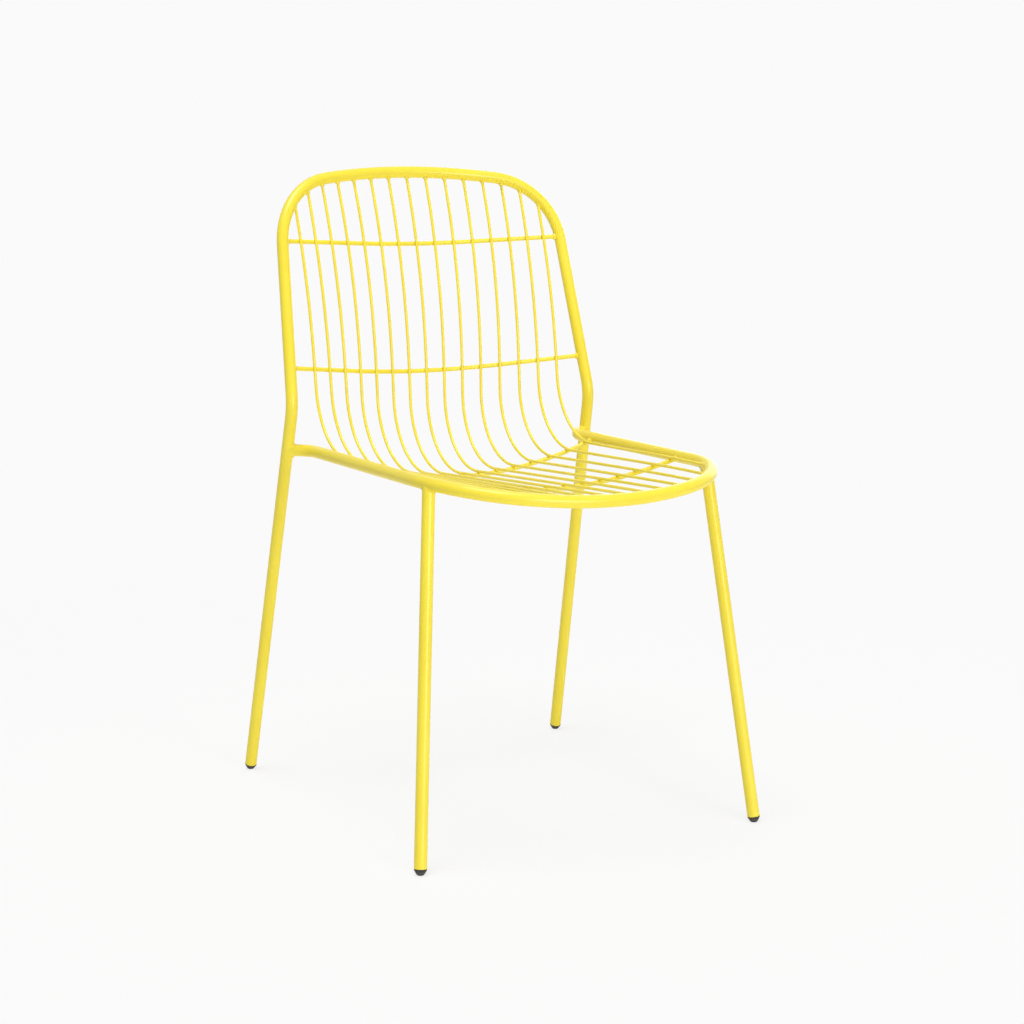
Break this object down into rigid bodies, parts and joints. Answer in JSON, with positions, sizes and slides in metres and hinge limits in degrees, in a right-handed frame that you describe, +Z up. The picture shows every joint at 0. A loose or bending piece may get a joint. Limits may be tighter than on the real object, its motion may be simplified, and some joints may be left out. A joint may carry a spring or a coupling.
{
  "type": "wire dining chair",
  "caption": "All-metal dining chair: a bent tube hoop forms rear legs and back, a tube rim carries a dished seat-and-back shell of welded wires, and plastic glides meet the floor.",
  "frame": {"origin": "on the floor, at the middle of the chair's width and depth", "axes": "+Z up, +Y towards the back of the chair, so a sitter looks along -Y; +X to the right when the chair is looked at from its front, along +Y"},
  "size_m": [0.5026, 0.6114, 0.8341],
  "materials": {
    "frame_tube": "satin yellow powder coat on steel tube",
    "shell_wire": "satin yellow powder coat on steel wire",
    "glide": "matt black moulded plastic"
  },
  "bodies": {
    "root": {"back_hoop": "frame_tube", "seat_rim": "frame_tube", "front_leg_left": "frame_tube", "front_leg_right": "frame_tube", "weld_rear_left": "frame_tube", "weld_rear_right": "frame_tube", "weld_front_left": "frame_tube", "weld_front_right": "frame_tube", "cross_wire_upper_back": "shell_wire", "cross_wire_lower_back": "shell_wire", "cross_wire_rear_seat": "shell_wire", "cross_wire_front_seat": "shell_wire", "long_wire_01": "shell_wire", "long_wire_02": "shell_wire", "long_wire_03": "shell_wire", "long_wire_04": "shell_wire", "long_wire_05": "shell_wire", "long_wire_06": "shell_wire", "long_wire_07": "shell_wire", "long_wire_08": "shell_wire", "long_wire_09": "shell_wire", "long_wire_10": "shell_wire", "long_wire_11": "shell_wire", "long_wire_12": "shell_wire", "long_wire_13": "shell_wire", "long_wire_14": "shell_wire", "long_wire_15": "shell_wire", "glide_front_left": "glide", "glide_front_right": "glide", "glide_rear_left": "glide", "glide_rear_right": "glide"}
  },
  "joints": []
}
